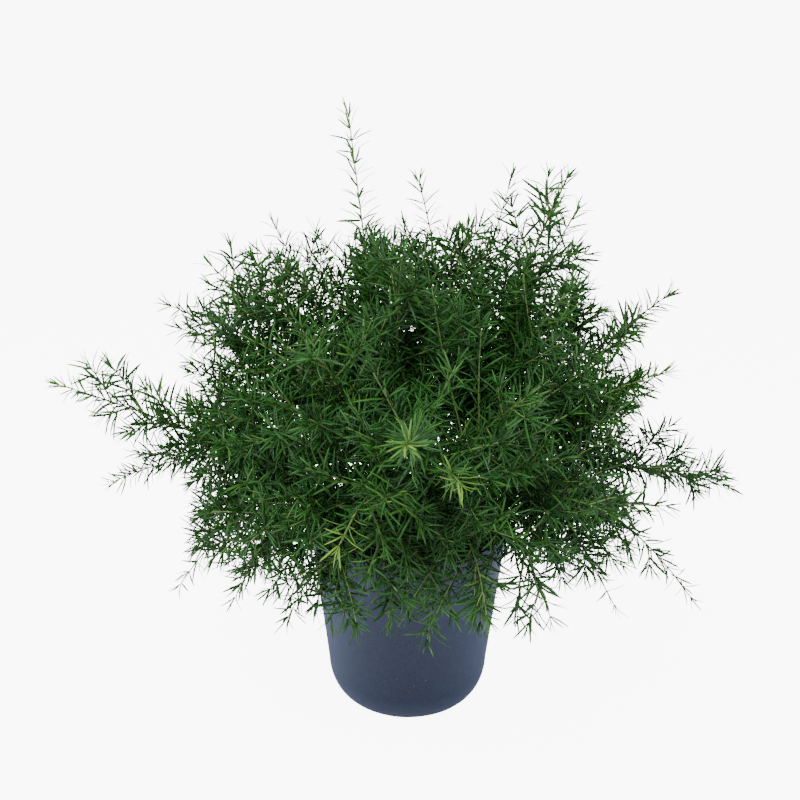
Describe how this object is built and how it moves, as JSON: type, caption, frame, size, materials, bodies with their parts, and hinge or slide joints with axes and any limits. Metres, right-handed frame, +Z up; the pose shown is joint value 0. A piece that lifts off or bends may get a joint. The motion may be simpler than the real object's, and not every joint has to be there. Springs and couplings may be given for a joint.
{
  "type": "potted asparagus fern",
  "caption": "Arching asparagus fern with needle-like foliage growing in a round plastic nursery pot, for standing on a floor, shelf or table.",
  "frame": {"origin": "on the surface the pot stands on, under the middle of the pot", "axes": "+Z up, +X to the right of the viewer who faces the front, +Y away from them"},
  "size_m": [0.5322, 0.4803, 0.4781],
  "materials": {
    "pot": "satin",
    "potting_mix": "matte",
    "crown": "matte",
    "stem": "satin",
    "foliage": "satin"
  },
  "bodies": {
    "root": {"pot": "pot", "potting_mix": "potting_mix", "crown": "crown", "frond_01": "stem", "frond_02": "stem", "frond_03": "stem", "frond_04": "stem", "frond_05": "stem", "frond_06": "stem", "frond_07": "stem", "frond_08": "stem", "frond_09": "stem", "frond_10": "stem", "frond_11": "stem", "frond_12": "stem", "frond_13": "stem", "frond_14": "stem", "frond_15": "stem", "frond_16": "stem", "frond_17": "stem", "frond_18": "stem", "frond_19": "stem", "frond_20": "stem", "frond_21": "stem", "frond_22": "stem", "frond_23": "stem", "frond_24": "stem", "frond_25": "stem", "frond_26": "stem", "frond_27": "stem", "frond_28": "stem", "frond_29": "stem", "frond_30": "stem", "frond_31": "stem", "frond_32": "stem", "frond_33": "stem", "frond_34": "stem", "frond_35": "stem", "frond_36": "stem", "frond_37": "stem", "frond_38": "stem", "frond_39": "stem", "frond_40": "stem", "frond_41": "stem", "frond_42": "stem", "frond_43": "stem", "frond_44": "stem", "frond_45": "stem", "frond_46": "stem", "frond_47": "stem", "frond_48": "stem", "frond_49": "stem", "frond_50": "stem", "frond_51": "stem", "frond_52": "stem", "frond_53": "stem", "frond_54": "stem", "frond_55": "stem", "frond_56": "stem"}
  },
  "joints": []
}
